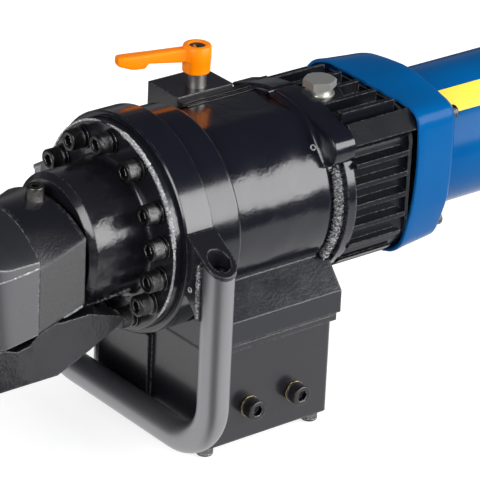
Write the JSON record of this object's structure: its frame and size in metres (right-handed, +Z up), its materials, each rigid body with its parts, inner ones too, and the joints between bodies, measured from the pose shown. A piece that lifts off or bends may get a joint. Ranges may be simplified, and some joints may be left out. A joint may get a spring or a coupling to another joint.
{
  "type": "hydraulic rebar bender",
  "caption": "Portable electric-hydraulic rebar bender with a ram and rollers, oil tank, finned pump, carry handle, clamp lever, motor and rear handle.",
  "frame": {"origin": "under the middle of the tool, on the surface that its feet stand on", "axes": "+X to the rear handle, +Z up, -Y the side with the switch lock button"},
  "size_m": [0.732, 0.236, 0.282],
  "materials": {
    "cast_black": "glossy black enamel with slight orange peel",
    "rough_cast": "black paint over rough casting",
    "tube_steel": "dark satin steel",
    "black_steel": "blackened steel with bright edges",
    "bright_steel": "ground steel",
    "hard_chrome": "polished",
    "brass": "satin",
    "bronze": "turned bronze",
    "orange": "orange powder coat",
    "zinc": "zinc plated",
    "fin_black": "satin black",
    "blue": "glossy blue",
    "yellow": "plain yellow film",
    "grey": "light grey",
    "rubber": "black rubber",
    "soft_black": "black plastic",
    "red": "red plastic",
    "copper": "copper",
    "lamination": "stacked sheet steel",
    "carbon": "carbon"
  },
  "bodies": {
    "tool_body": {"head_frame": "cast_black", "roller_pins": "black_steel", "pin_clips": "black_steel", "return_spring": "black_steel", "rod_bushing": "bronze", "rod_wiper": "rubber", "front_ring": "cast_black", "main_casting": "cast_black", "flange_screws": "black_steel", "spring_washers": "black_steel", "flat_washers": "black_steel", "carry_handle": "tube_steel", "handle_brackets": "cast_black", "bracket_screws": "black_steel", "oil_tank": "cast_black", "tank_gasket": "rubber", "tank_side_screws": "black_steel", "tank_side_washers": "brass", "tank_foot_screws": "black_steel", "tank_foot_washers": "brass", "suction_tube": "brass", "clamp_block": "cast_black", "clamp_stud": "bright_steel", "pump_housing": "fin_black", "filler_plug": "zinc", "filler_washer": "zinc", "pump_block": "bright_steel", "pump_plungers": "hard_chrome", "shaft_bearings": "bright_steel", "hood_baffle": "grey", "motor_hood": "blue", "hood_screws": "black_steel", "motor_barrel": "blue", "label_plate": "yellow", "stator": "lamination", "motor_end_cap": "soft_black", "brushes": "carbon", "brush_caps": "soft_black", "handle_left": "soft_black", "handle_right": "soft_black", "handle_screws": "black_steel", "switch_body": "soft_black", "cord_gland": "rubber"},
    "ram": {"ram_block": "rough_cast", "ram_block_screw": "bright_steel", "bending_former": "cast_black", "piston_rod": "hard_chrome", "piston": "bright_steel", "piston_seals": "rubber"},
    "left_roller": {"roller_left": "bright_steel"},
    "right_roller": {"roller_right": "bright_steel"},
    "lever": {"clamp_lever": "orange", "lever_screw": "black_steel"},
    "angle_stop": {"stop_bar": "black_steel"},
    "trigger_key": {"trigger": "red"},
    "lock_key": {"lock_button": "red"},
    "rotor": {"motor_shaft": "bright_steel", "armature_core": "lamination", "commutator": "copper", "cooling_fan": "soft_black"}
  },
  "joints": [
    {"name": "ram_slide", "type": "slide", "parent": "tool_body", "child": "ram", "axis": [-1, 0, 0], "range_m": [0, 0.07], "stiffness_N_per_m": 3000, "springref_m": -0.02, "deforming": ["return_spring"]},
    {"name": "left_roller_spin", "type": "hinge", "parent": "tool_body", "child": "left_roller", "pos_m": [-0.34, 0.096, 0.1605], "axis": [0, 0, 1], "continuous": true},
    {"name": "right_roller_spin", "type": "hinge", "parent": "tool_body", "child": "right_roller", "pos_m": [-0.34, -0.096, 0.1605], "axis": [0, 0, 1], "continuous": true},
    {"name": "lever_swing", "type": "hinge", "parent": "tool_body", "child": "lever", "pos_m": [-0.0135, 0.0445, 0.2715], "axis": [0, 0, 1], "range_deg": [-40, 95]},
    {"name": "stop_slide", "type": "slide", "parent": "tool_body", "child": "angle_stop", "axis": [-1, 0, 0], "range_m": [0, 0.018]},
    {"name": "trigger_pull", "type": "slide", "parent": "tool_body", "child": "trigger_key", "axis": [1, 0, 0], "range_m": [0, 0.005], "stiffness_N_per_m": 600, "springref_m": -0.003},
    {"name": "lock_press", "type": "slide", "parent": "tool_body", "child": "lock_key", "axis": [0, 1, 0], "range_m": [0, 0.003], "stiffness_N_per_m": 500, "springref_m": -0.002},
    {"name": "motor_spin", "type": "hinge", "parent": "tool_body", "child": "rotor", "pos_m": [0.184, 0, 0.1775], "axis": [1, 0, 0], "continuous": true}
  ]
}
